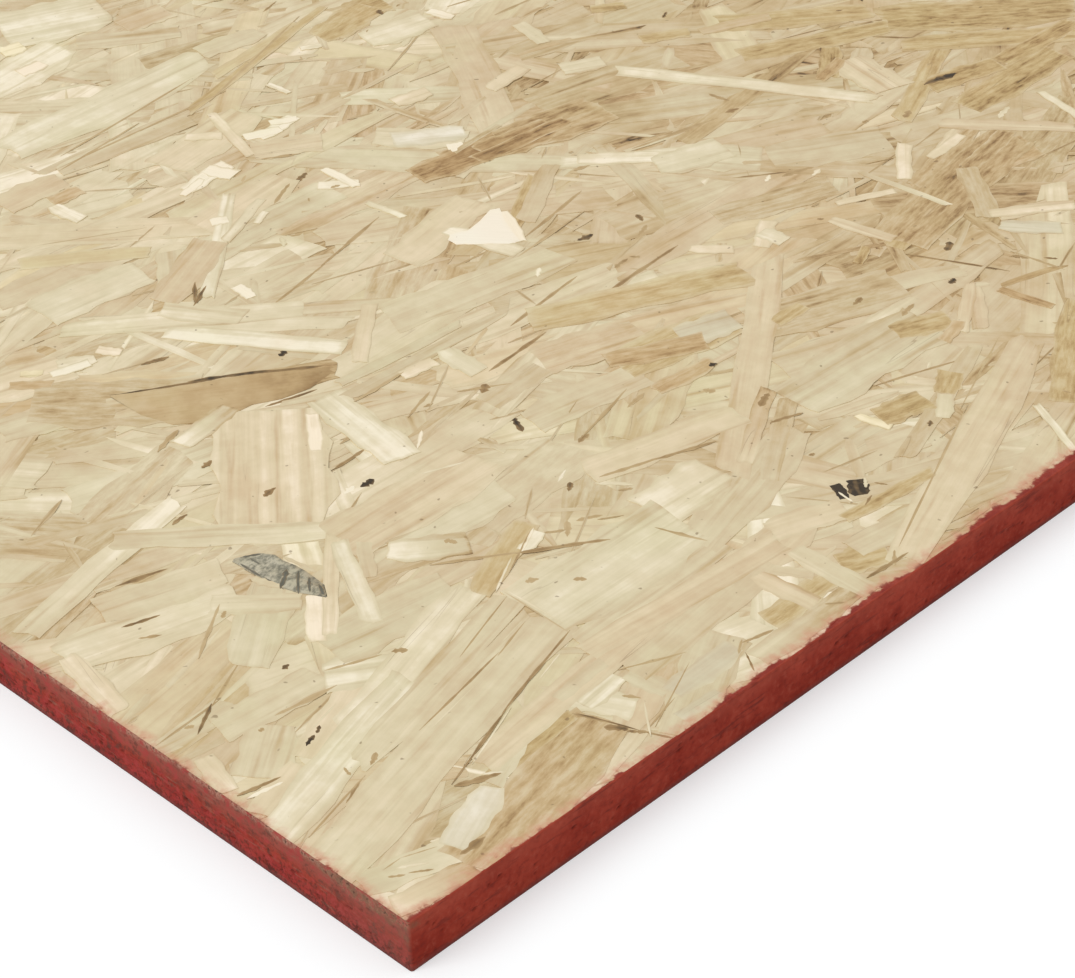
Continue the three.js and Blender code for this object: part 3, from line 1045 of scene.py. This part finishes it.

# Cracks, bark and knots on that corner: start, end and width in millimetres, and tone. Some of
# the dark lines are painted shade under strand edges that stand up.
CORNER_MARKS = (
    (95, 29, 102, 10, 1.1, 0.10), (102, 10, 106, 1, 1.0, 0.14), (106, 8, 135, 21, 0.6, 0.24),
    (150, 12, 145, 4, 0.9, 0.12), (9, 18, 13, 15, 1.2, 0.22), (14, 15, 20, 11, 1.2, 0.18),
    (10, 21, 17, 21, 0.6, 0.30), (17, 21, 27, 17, 0.6, 0.34), (48, 33, 84, 46, 1.3, BROWN),
    (80, 45, 122, 58, 1.4, BROWN), (5, 46, 34, 54, 0.9, HONEY), (58, 57, 100, 66, 1.0, 0.20),
    (98, 65, 116, 71, 0.9, 0.30), (90, 73, 121, 84, 1.0, 0.22), (22, 49, 31, 53, 1.3, 0.18),
    (38, 56, 43, 59, 2.4, 0.20), (31, 57, 32, 61, 1.4, 0.30), (121, 57, 122, 86, 0.8, TAN),
    (3, 74, 17, 71, 1.7, BROWN), (31, 76, 36, 78, 2.0, BARK), (37, 78, 40, 80, 1.6, BARK),
    (13, 103, 25, 111, 1.8, 0.08), (24, 110, 46, 121, 1.2, 0.24), (48, 32, 61, 26, 3.4, 0.16),
    (29, 10, 39, 10, 3.2, 0.14), (94, 30, 98, 20, 1.6, 0.20), (96, 19, 100, 13, 3.2, 0.10),
    (99, 13, 103, 8, 1.5, 0.18), (110, 25, 113, 20, 1.8, HONEY), (104, 9, 120, 13, 0.9, 0.24),
    (118, 34, 138, 25, 1.4, 0.30), (152, 16, 164, 13, 1.6, 0.24), (148, 13, 154, 17, 1.2, 0.30),
    (184, 10, 189, 6, 1.4, 0.24), (203, 9, 222, 8, 1.8, BROWN), (78, 90, 82, 87, 3.0, 0.20),
    (26, 91, 28, 91, 2.0, 0.20), (12, 108, 15, 107, 2.4, HONEY), (50, 108, 53, 108, 2.6, 0.04),
    (58, 98, 75, 91, 1.6, 0.34), (34, 93, 56, 90, 2.4, 0.34), (116, 113, 140, 97, 1.8, 0.28),
    (138, 98, 164, 81, 2.2, 0.16), (130, 92, 151, 103, 0.9, 0.24), (130, 85, 134, 83, 3.0, 0.30),
    (141, 75, 144, 72, 3.2, HONEY), (178, 75, 184, 58, 1.8, 0.34), (156, 92, 162, 98, 3.0, 0.32),
    (164, 96, 172, 92, 2.4, HONEY), (152, 99, 158, 95, 1.6, HONEY), (186, 107, 208, 100, 1.9, 0.24),
    (204, 101, 227, 93, 2.0, 0.20), (222, 12, 300, 46, 1.1, 0.34), (296, 46, 340, 64, 1.1, 0.34),
    (238, 36, 232, 34, 1.2, BROWN), (244, 40, 246, 36, 1.4, BROWN), (220, 12, 214, 7, 1.6, 0.26),
    (247, 87, 259, 83, 2.0, 0.16), (252, 96, 260, 99, 3.2, 0.10), (247, 117, 249, 113, 3.0, HONEY),
    (259, 125, 262, 124, 2.8, 0.03), (288, 76, 322, 64, 1.7, 0.22), (281, 47, 284, 49, 2.2, 0.06),
    (322, 114, 328, 115, 3.0, 0.16), (328, 97, 337, 99, 2.6, 0.22), (373, 113, 379, 116, 4.0, 0.04),
    (356, 98, 360, 99, 3.0, 0.03), (386, 94, 389, 88, 2.4, BROWN), (440, 187, 446, 189, 3.4, 0.16),
    (466, 198, 482, 195, 5.0, BARK), (397, 241, 403, 239, 3.4, 0.12), (404, 256, 405, 246, 2.8, 0.22),
    (352, 248, 392, 240, 2.2, 0.28), (374, 192, 388, 188, 3.0, 0.20), (188, 144, 192, 152, 2.8, 0.02),
    (195, 170, 200, 173, 3.6, 0.12), (190, 177, 206, 167, 1.6, 0.30), (196, 126, 202, 127, 3.4, 0.20),
    (199, 127, 230, 136, 1.6, HONEY), (174, 109, 178, 112, 2.6, 0.08),
    (128, 119, 130, 115, 3.0, 0.28), (131, 174, 146, 175, 2.0, 0.16), (162, 198, 186, 199, 1.9, 0.30),
    (168, 178, 184, 184, 1.7, 0.28), (206, 178, 237, 181, 2.2, 0.14),
    (222, 128, 232, 130, 2.6, HONEY), (42, 177, 59, 172, 2.8, 0.10), (30, 159, 42, 155, 2.0, 0.08),
    (30, 151, 36, 147, 1.6, 0.20), (36, 130, 58, 146, 1.6, 0.34), (54, 140, 57, 142, 1.8, HONEY),
    (130, 160, 136, 160, 3.4, BARK), (105, 179, 111, 180, 3.2, 0.10), (75, 189, 82, 190, 2.4, 0.14),
    (102, 206, 107, 207, 2.8, 0.10), (110, 261, 140, 243, 1.8, 0.04), (132, 249, 158, 232, 2.8, 0.02),
    (148, 239, 170, 222, 2.6, 0.04), (140, 218, 159, 213, 1.8, 0.10), (98, 224, 111, 229, 3.0, 0.26),
    (164, 238, 168, 239, 3.2, BARK), (128, 269, 138, 266, 2.6, 0.12), (165, 285, 177, 292, 2.2, 0.08),
    (185, 265, 216, 272, 1.8, 0.26), (214, 272, 252, 282, 1.9, 0.22), (267, 183, 311, 187, 2.2, 0.16),
    (231, 193, 271, 199, 1.9, 0.20), (278, 232, 316, 240, 1.8, 0.24), (266, 224, 306, 229, 1.6, 0.32),
    (244, 236, 264, 235, 1.6, HONEY), (289, 216, 296, 215, 3.6, 0.03),
    (315, 208, 317, 213, 3.0, 0.03), (284, 193, 292, 194, 2.4, 0.18), (201, 406, 275, 417, 1.4, 0.30),
    (193, 397, 238, 404, 1.4, 0.34), (341, 426, 268, 397, 1.8, 0.32), (278, 399, 193, 399, 1.4, 0.30),
    (388, 96, 391, 74, 1.8, HONEY), (176, 297, 167, 287, 2.0, 0.10), (367, 406, 365, 402, 4.0, 0.06),
    (251, 347, 264, 339, 2.0, 0.26), (249, 324, 256, 327, 3.2, 0.04), (232, 318, 246, 325, 2.0, 0.26),
    (306, 202, 314, 205, 2.0, 0.26), (325, 253, 332, 251, 2.4, HONEY),
    (254, 311, 258, 310, 2.6, 0.30),
)

# Pale chips and lips of torn fibre on that corner, in the same way. The lips beside the
# cracks are partly painted highlight, where the wall of a crack catches the light.
CORNER_CHIPS = (
    (13, 19, 21, 14, 2.0, PALE), (27, 20, 30, 19, 1.2, WHITE), (73, 149, 77, 138, 4.0, CREAM),
    (87.5, 151, 89.5, 136, 2.4, CREAM), (58, 35, 84, 45, 0.8, PALE), (98, 48, 120, 55, 0.8, PALE),
    (60, 55, 84, 60, 0.8, PALE), (104, 69, 116, 72, 0.7, PALE), (123, 62, 123, 86, 1.2, PALE),
    (4, 71, 16, 69, 1.8, WHITE), (120, 88, 136, 97, 1.0, PALE), (139, 96, 152, 103, 1.2, WHITE),
    (57, 30, 62, 26, 1.4, WHITE), (102, 6, 112, 18, 1.3, PALE), (124, 161, 129, 162, 3.0, WHITE),
    (157, 162, 166, 169, 1.9, WHITE), (183, 106, 191, 96, 3.0, PALE), (232, 45, 231, 38, 1.2, WHITE),
    (240, 40, 244, 44, 1.6, PALE), (261, 209, 266, 213, 2.6, WHITE), (148, 151, 163, 145, 1.4, PALE),
    (36, 80, 50, 84, 1.0, CREAM), (175, 115, 182, 118, 1.6, PALE), (367, 194, 372, 196, 2.6, WHITE),
    (382, 184, 388, 185, 2.6, WHITE), (464, 160, 474, 163, 3.0, WHITE),
    (304, 297, 310, 300, 3.0, WHITE), (214, 292, 218, 298, 2.4, PALE),
)

# Three flakes of that corner with outlines of their own, each a row in the same way with its
# width left at 1, and then how far it reaches to the left and to the right of its middle line,
# in millimetres at even steps.
GREY_FLAKE = ((76, 160, 83, 124.5, 1.0, 0.74),
              (1.0, 7.2, 8.9, 8.3, 7.8, 7.4, 7.0, 4.4, 0.3),
              (1.2, 1.8, 2.9, 3.4, 3.6, 3.8, 3.3, 1.9, 0.7))
WHITE_SHARD = ((258, 251.5, 274, 231.5, 1.0, 1.2),
               (3.9, 5.4, 7.0, 14.0, 21.5, 23.0, 14.0, 7.0, 1.0),
               (1.0, 3.7, 3.5, 3.2, 3.0, 2.8, 2.6, 2.4, 0.6))
BROWN_BLADE = ((109, 261.5, 170, 218, 1.0, 0.34),
               (0.6, 0.5, 0.9, 1.7, 2.5, 3.2, 3.9, 4.2, 2.0),
               (0.7, 13.8, 22.4, 22.9, 20.5, 17.9, 15.1, 9.7, 2.3))
BLADE_OVER = 128  # the number of the strand of CORNER_STRANDS that the blade lies on

# Dark strokes across the grey flake and along its rim, like the cracks.
FLAKE_STROKES = (
    (84, 144, 76, 138, 2.4, 0.12), (86, 141, 78, 132, 1.5, 0.15), (86, 136, 81, 130, 1.3, 0.18),
    (78, 159.5, 84, 156, 1.4, 0.18), (76, 157, 76, 147, 1.2, 0.16), (85.5, 131, 83, 125.5, 1.8, 0.18),
    (76.5, 146, 76.5, 137, 1.0, 0.15), (80, 157, 80, 152, 1.0, 0.22),
)


def placed(row, level, blank, **looks):
    """A strand from a row that gives its start, end and width in millimetres, then its tone."""
    start = NEAR_CORNER + Vector((row[0], row[1], 0)) * MM
    end = NEAR_CORNER + Vector((row[2], row[3], 0)) * MM
    middle = (start + end) / 2
    span = end - start
    return strand(middle.x, middle.y, math.atan2(span.y, span.x), span.length, row[4] * MM,
                  level, row[5], blank, **looks)


def surface_of(pieces):
    """The height of the uppermost strand at a place, as a function of x and y."""
    trees = []
    for piece in pieces:
        corners = [vertex.co for vertex in piece.data.vertices]
        sides = [tuple(face.vertices) for face in piece.data.polygons]
        trees.append(BVHTree.FromPolygons(corners, sides))

    def height(x, y):
        hits = [tree.ray_cast(Vector((x, y, 1.0)), Vector((0, 0, -1)))[0] for tree in trees]
        return max((hit.z for hit in hits if hit), default=HIGH.z - FACE_RELIEF)
    return height


def settled(one, height):
    """Lower a mark onto the highest place under it, no two shapes of mark at the same level."""
    ahead = Vector((math.cos(one["turn"]), math.sin(one["turn"]))) * one["length"]
    aside = Vector((-ahead.y, ahead.x)) * one["width"] / one["length"]
    steps = [ahead * along + aside * across
             for along in (-0.3, 0.0, 0.3) for across in (-0.3, 0.0, 0.3)]
    spots = [height(one["x"] + step.x, one["y"] + step.y) for step in steps]
    one["z"] = min(max(spots) + MARK_STANDS, HIGH.z) - one["blank"] * MARK_STEP
    return one


def corner_strand(number, row, level, rng):
    """The strand of one row of CORNER_STRANDS."""
    tone, end_tone, cast = row[5:]
    # its rim shadow of 0.02 is painted shade along its edge
    made = placed(row, level, number % BLANKS, drift=0.3, change=end_tone - tone,
                  rim=softened(tone, 0.6, 0.02), tint=CASTS[cast],
                  stripe=0.9 if row[4] > FULL_RINGS else rng.uniform(0.3, 0.8))
    paler = 0.03 - 0.00016 * (row[0] - row[1])  # towards Y the sheet is paler than towards X: partly its own tone, partly painted light
    made["tone"] = (tone + end_tone) / 2 + paler
    return made


def add_flake(strands, blanks, flake, lanes, level, rng, **looks):
    """Lay one of the three flakes with outlines of their own."""
    row, left, right = flake
    strands.append(placed(row, level, len(blanks), **looks))
    blanks.append(outlined_blank(rng, left, right, lanes))


def make_corner_strands(material, rng):
    """The strands laid one by one over the near corner of the upper face."""
    blanks = strand_blanks(rng, 10, 4, 0.03, 0.35, margin=0.18)
    lowest = HIGH.z - TOP_LAYER + 0.04 * MM
    step = (HIGH.z - lowest) / len(CORNER_STRANDS)
    strands = [corner_strand(number, row, lowest + number * step, rng)
               for number, row in enumerate(CORNER_STRANDS)]
    add_flake(strands, blanks, GREY_FLAKE, 6, HIGH.z - 0.02 * MM, rng, tint=CASTS["grey"],
              change=-0.14, drift=0.0, rim=-0.25, rim_cast=1.0)
    add_flake(strands, blanks, WHITE_SHARD, 6, HIGH.z - 0.03 * MM, random.Random(SHARD_SEED),
              tint=CASTS["bleached"], drift=0.0)
    add_flake(strands, blanks, BROWN_BLADE, 8, lowest + (BLADE_OVER + 0.5) * step,
              random.Random(BLADE_SEED), tint=CASTS["tawny"], drift=0.2, stripe=0.04, change=-0.26,
              rim=-0.06)
    return face_piece("corner_strands", strands, blanks, CORNER_STRAND, material)


def make_corner(material, below):
    """The strands, cracks and chips laid one by one over the near corner of the upper face."""
    rng = random.Random(CORNER_SEED)
    laid = make_corner_strands(material, rng)
    lenses = strand_blanks(rng, 8, 2, lens=0.35)
    marks = [placed(row, HIGH.z, number % BLANKS, rim=0.08, stripe=0.0, drift=0.0)
             for number, row in enumerate(CORNER_MARKS)]
    marks += [placed(row, HIGH.z, number, stripe=0.0, drift=0.0, tint=CASTS["slate"])
              for number, row in enumerate(FLAKE_STROKES)]
    marks += [placed(row, HIGH.z, number % BLANKS, rim=-0.15, stripe=0.0)
              for number, row in enumerate(CORNER_CHIPS)]
    height = surface_of(below + [laid])
    face_piece("corner_marks", [settled(one, height) for one in marks], lenses, MARK, material)


def make_backing(name, rng, level, material, facing=1):
    """Wide overlapping strands that close the gaps under the others."""
    blanks = strand_blanks(rng, 2, 1, 0.02, 0.2)
    strands = scattered_strands(rng, BACKING_LAY, level - FACE_RELIEF - 0.1 * MM, 0.04 * MM,
                                tone_shift=-0.15)
    return face_piece(name, strands, blanks, BACKING, material, facing)


def make_cracks(rng, level, material):
    """The scattered cracks and knots of the upper face."""
    marks = scattered_strands(rng, CRACK_LAY, level + 0.05 * MM, 0.05 * MM)
    marks += scattered_strands(rng, KNOT_LAY, level + 0.06 * MM, 0.04 * MM)
    for mark in marks:
        mark.update(tone=rng.uniform(0.12, 0.36), rim=0.26, stripe=0.0, change=0.0, bow=0.0,
                    tint=CASTS["crack"])
    near, rest = parted(marks)
    lenses = strand_blanks(rng, 6, 2, lens=0.35)
    spindles = strand_blanks(rng, 4, 1, lens=0.35)
    laid = face_piece("top_cracks_near", near, lenses, MARK, material)
    face_piece("top_cracks", rest, spindles, MARK, material)
    return laid


def make_top_face(material):
    """The upper face, in layers from its backing to what is laid one by one."""
    rng = random.Random(TOP_SEED)
    fine = strand_blanks(rng, 10, 4, 0.035, 0.5, margin=0.16)
    plain = strand_blanks(rng, 4, 2, 0.035, 0.5)
    level = HIGH.z - TOP_LAYER
    near, rest = parted(scattered_strands(rng, BOARD_LAY, level, FACE_RELIEF))
    rest = emboldened(rest)
    half = len(rest) // 2
    below = [face_piece("top_strands_near", near, fine, BOARD_STRAND, material)]
    face_piece("top_strands_a", rest[:half], plain, BOARD_STRAND, material)
    face_piece("top_strands_b", rest[half:], plain, BOARD_STRAND, material)
    below.append(make_backing("top_backing", rng, level, material))

    near, rest = parted(scattered_strands(rng, SLIVER_LAY, level - 0.01 * MM, 0.06 * MM))
    slim = strand_blanks(rng, 5, 2, 0.06, 0.85)
    thin = strand_blanks(rng, 3, 1, 0.06, 0.85)
    below.append(face_piece("top_slivers_near", near, slim, SLIVER, material))
    face_piece("top_slivers", rest, thin, SLIVER, material)
    below.append(make_cracks(rng, level, material))
    make_corner(material, below)


def make_underside(material):
    """The lower face, in the same way but with coarser strands and nothing laid one by one."""
    rng = random.Random(UNDER_SEED)
    blanks = strand_blanks(rng, 2, 1, 0.04, 0.5)
    level = LOW.z - TOP_LAYER
    strands = scattered_strands(rng, UNDER_LAY, level, FACE_RELIEF)
    face_piece("underside_strands", strands, blanks, HIDDEN_STRAND, material, facing=-1)
    make_backing("underside_backing", rng, level, material, facing=-1)


# ---------------------------------------------------------------- sawn edges


def outline_point(distance):
    """A point of the sheet's outline and its outward direction.

    The distance is measured round the sheet from the near corner, along X first; a negative
    one goes the other way, along Y.
    """
    runs = ((2 * HALF_LENGTH, 0.0, -HALF_LENGTH, -HALF_WIDTH),
            (2 * HALF_WIDTH, 90.0, HALF_LENGTH, -HALF_WIDTH),
            (2 * HALF_LENGTH, 180.0, HALF_LENGTH, HALF_WIDTH),
            (2 * HALF_WIDTH, 270.0, -HALF_LENGTH, HALF_WIDTH))
    total = sum(run[0] for run in runs)
    left = distance % total
    for length, heading, x, y in runs:
        if left <= length:
            break
        left -= length
    ahead = Vector((math.cos(math.radians(heading)), math.sin(math.radians(heading)), 0))
    outward = Vector((ahead.y, -ahead.x, 0))
    start = Vector((x, y, 0))
    radius = CORNER_RADIUS
    from_corner = min(left, length - left)
    if from_corner < radius:
        swing = math.radians(45) * (1 - from_corner / radius)
        side = -1 if left < length / 2 else 1
        centre = start + ahead * (radius if side < 0 else length - radius) - outward * radius
        direction = (outward * math.cos(swing) + ahead * (side * math.sin(swing))).normalized()
        return centre + direction * radius, direction
    return start + ahead * left, outward


def edge_pit(distance, height, end_grain):
    """How far the sawn edge lies back at one place, and how deep a pit it is from 0 to 1."""
    layer = noise.noise(Vector((distance / (11 * MM), height / (0.8 * MM), 3.0)))
    crumb = noise.noise(Vector((distance / (2.2 * MM), height / (0.9 * MM), 17.0)))
    hole = noise.noise(Vector((distance / (2.6 * MM), height / (1.1 * MM), 41.0)))
    depth = 0.05 * MM * (layer + 0.8) + 0.06 * MM * crumb
    middle = max(0.0, 1 - abs(2 * height / THICKNESS - 0.7))
    pit = min(max(0.0, hole - 0.50 + 0.16 * end_grain * middle) * 3, 1.0)
    return depth + 0.9 * MM * pit, pit


def edge_wear(distance, height):
    """How worn the sealer is at one place, from 0 to 1: one scuff just round the near corner."""
    waver = noise.noise(Vector((distance / (5 * MM), 8.0, 0.0))) * 0.9 * MM
    from_scuff = abs(distance + 20 * MM) / SCUFF_REACH
    near_corner = max(0.0, 1 + distance / SCUFF_REACH) if distance < 0 else 0.0
    sunk = (1.6 + 5 * near_corner ** 2) * MM
    off_middle = abs(height - THICKNESS + sunk + waver) / (1.6 * MM)
    return max(0.0, 1 - off_middle ** 3) * max(0.0, 1 - from_scuff ** 4)


def band_levels(rows):
    """Distances up the sawn band, closer together at both arrises and a little past them."""
    lower = [step * MM for step in (-1.2, -0.6, -0.3, -0.1, 0.0, 0.04, 0.12)]
    middle = [ARRIS_RADIUS + (THICKNESS - 2 * ARRIS_RADIUS) * row / rows for row in range(rows + 1)]
    return lower + middle + [THICKNESS - step for step in reversed(lower)]


def band_place(point, outward, way, depth):
    """Where the band lies at one distance up it, a depth back from a point of the outline.

    Past either arris it dives under the strands, more steeply at the ends.
    """
    height = min(max(way, 0.0), THICKNESS)
    inset = max(0.0, -way, way - THICKNESS)
    near_arris = min(height, THICKNESS - height)
    left = max(0.0, ARRIS_RADIUS - near_arris)
    rounding = ARRIS_RADIUS - math.sqrt(ARRIS_RADIUS ** 2 - left ** 2)
    sink = 0.6 * MM * min(inset / ((1.2 - 0.7 * outward.x ** 2) * MM), 1.0) ** 1.5
    depth *= min(near_arris / (1.5 * MM), 1.0)
    place = point - outward * (depth + inset + rounding)
    place.z = LOW.z + (height - sink if height > THICKNESS / 2 else height + sink)
    return place


def edge_band(name, stops, rows, material):
    """A band of sawn edge between the faces, with columns at the given distances."""
    levels = band_levels(rows)
    band = bmesh.new()
    bmesh.ops.create_grid(band, x_segments=len(stops) - 1, y_segments=len(levels) - 1, size=0.5)
    pits, ends, worn = [band.verts.layers.float.new(field) for field in BAND_FIELDS]
    places = [outline_point(stop) for stop in stops]
    for vertex in band.verts:
        column = round((vertex.co.x + 0.5) * (len(stops) - 1))
        way = levels[round((vertex.co.y + 0.5) * (len(levels) - 1))]
        height = min(max(way, 0.0), THICKNESS)
        point, outward = places[column]
        depth, vertex[pits] = edge_pit(stops[column], height, outward.x ** 2)
        vertex[ends] = outward.x ** 2
        vertex[worn] = edge_wear(stops[column], height)
        vertex.co = band_place(point, outward, way, depth)
    for face in band.faces:
        face.smooth = True
    bmesh.ops.recalc_face_normals(band, faces=band.faces[:])
    mesh = bpy.data.meshes.new(name)
    band.to_mesh(mesh)
    band.free()
    new_piece(name, mesh, material)


def stops_between(start, end, fine_until=0.0):
    """Distances round the sheet, close together near the near corner and wider beyond."""
    stops = [start]
    while stops[-1] < end - 1e-6:
        step = FINE_COLUMN if abs(stops[-1]) < fine_until else WIDE_COLUMN
        stops.append(min(stops[-1] + step, end))
    return stops


def make_edges(material):
    """The sawn edges: finer along the two that meet at the near corner."""
    length, width = 2 * HALF_LENGTH, 2 * HALF_WIDTH
    near = [-stop for stop in reversed(stops_between(0, width, FINE_EDGE))][:-1]
    near += stops_between(0, length, FINE_EDGE)
    edge_band("sealed_edges_near", near, FINE_ROWS, material)
    edge_band("sealed_edges_far", stops_between(length, 2 * length + width), WIDE_ROWS, material)


# ---------------------------------------------------------------- camera, light, floor


def set_camera():
    """The camera, held at its place and angle from the near corner."""
    camera = put_in_scene("camera", bpy.data.cameras.new("camera"))
    camera.data.sensor_fit = "HORIZONTAL"
    camera.data.sensor_width = SENSOR_WIDTH_MM
    camera.data.lens = LENS_MM
    camera.data.clip_start = 0.01
    camera.data.clip_end = 100
    turn = (Matrix.Rotation(CAMERA_HEADING - math.pi / 2, 4, "Z")
            @ Matrix.Rotation(math.pi / 2 - CAMERA_PITCH, 4, "X")
            @ Matrix.Rotation(CAMERA_ROLL, 4, "Z"))
    camera.matrix_world = Matrix.Translation(NEAR_CORNER + CAMERA_FROM_CORNER) @ turn
    bpy.context.scene.camera = camera


def set_light():
    """An even sky, white to the camera, and one wide lamp."""
    world = bpy.data.worlds.new("studio")
    bpy.context.scene.world = world
    world.use_nodes = True
    tree = world.node_tree
    tree.nodes.clear()
    ray = add(tree, "ShaderNodeLightPath").outputs["Is Camera Ray"]
    level = times_plus(tree, ray, 1 - SKY_LEVEL, SKY_LEVEL)
    sky = add(tree, "ShaderNodeBackground", {"Color": (1, 1, 1, 1), "Strength": level})
    add(tree, "ShaderNodeOutputWorld", {"Surface": sky.outputs["Background"]})

    lamp = put_in_scene("soft_lamp", bpy.data.lights.new("soft_lamp", "SUN"))
    lamp.data.energy = (1 - SKY_LEVEL) * math.pi / math.sin(LAMP_ELEVATION)
    lamp.data.angle = LAMP_WIDTH
    lamp.matrix_world = (Matrix.Rotation(LAMP_HEADING + math.pi / 2, 4, "Z")
                         @ Matrix.Rotation(math.pi / 2 - LAMP_ELEVATION, 4, "X"))


def make_floor():
    """The floor under the sheet, which is no part of it."""
    shape = bmesh.new()
    bmesh.ops.create_grid(shape, x_segments=1, y_segments=1, size=FLOOR_SIZE / 2)
    mesh = bpy.data.meshes.new("floor")
    shape.to_mesh(mesh)
    shape.free()
    floor = put_in_scene("floor", mesh)
    mesh.materials.append(floor_material())


bpy.context.scene.view_settings.view_transform = "Standard"
set_camera()
set_light()
make_floor()
sealer = edge_sealer_group()
strand_wood = strand_wood_material(wood_grain_group(), sealer)
make_top_face(strand_wood)
make_underside(strand_wood)
make_edges(edge_sealer_material(sealer))
